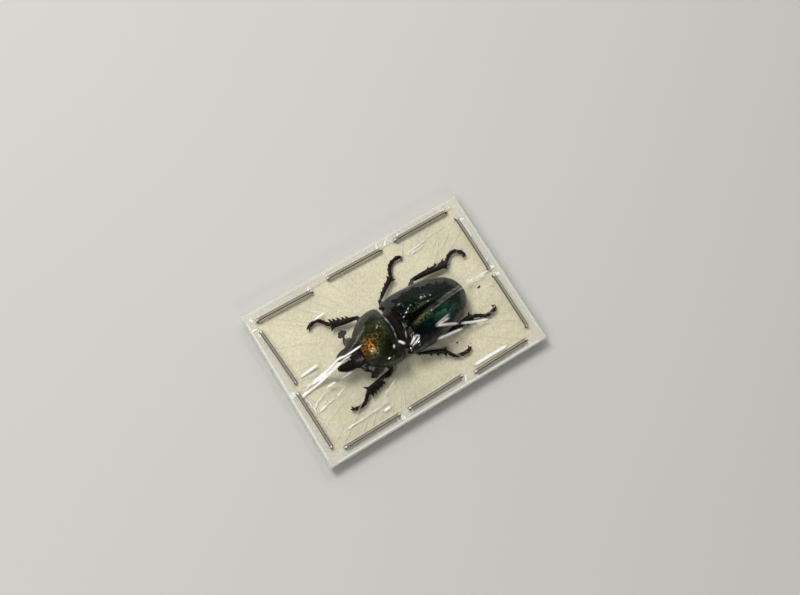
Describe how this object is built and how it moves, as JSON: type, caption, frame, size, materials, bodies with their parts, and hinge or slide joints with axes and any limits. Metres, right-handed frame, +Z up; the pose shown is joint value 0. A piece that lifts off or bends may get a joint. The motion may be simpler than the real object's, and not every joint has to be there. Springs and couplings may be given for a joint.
{
  "type": "mounted beetle specimen",
  "caption": "Dried stag beetle with metallic wing cases and toothed legs, laid on a pale card under clear film that wire staples hold.",
  "frame": {"origin": "middle of the card on the surface it lies on, at the lowest point of the turned-in staple ends", "axes": "+X along the card's long side towards the beetle's tail, +Y towards the beetle's right side, +Z up out of the card's face"},
  "size_m": [0.0508, 0.0352, 0.0099],
  "materials": {
    "card": "matt pale card",
    "clear_film": "clear glossy film, faintly milky where it stands off",
    "staple_wire": "dull zinc-coated wire",
    "green_gold_shell": "metallic insect shell, green-gold with a copper middle, finely pitted",
    "teal_wing_case": "metallic insect shell, near-black to teal green, finely wrinkled",
    "dark_shell": "dark brown-black insect shell",
    "leg_shell": "dark brown-black insect shell, satin",
    "eye_black": "black faceted eye"
  },
  "bodies": {
    "root": {"abdomen": "dark_shell", "antenna_left": "dark_shell", "antenna_right": "dark_shell", "card": "card", "elytron_left": "teal_wing_case", "elytron_right": "teal_wing_case", "eye_left": "eye_black", "eye_right": "eye_black", "film": "clear_film", "foreleg_left": "leg_shell", "foreleg_right": "leg_shell", "head": "dark_shell", "hindleg_left": "leg_shell", "hindleg_right": "leg_shell", "mandible_left": "dark_shell", "mandible_right": "dark_shell", "midleg_left": "leg_shell", "midleg_right": "leg_shell", "prothorax": "green_gold_shell", "scutellum": "dark_shell", "staple_head_1": "staple_wire", "staple_head_2": "staple_wire", "staple_left_1": "staple_wire", "staple_left_2": "staple_wire", "staple_left_3": "staple_wire", "staple_right_1": "staple_wire", "staple_right_2": "staple_wire", "staple_right_3": "staple_wire", "staple_tail_1": "staple_wire", "staple_tail_2": "staple_wire", "thorax": "dark_shell"}
  },
  "joints": []
}
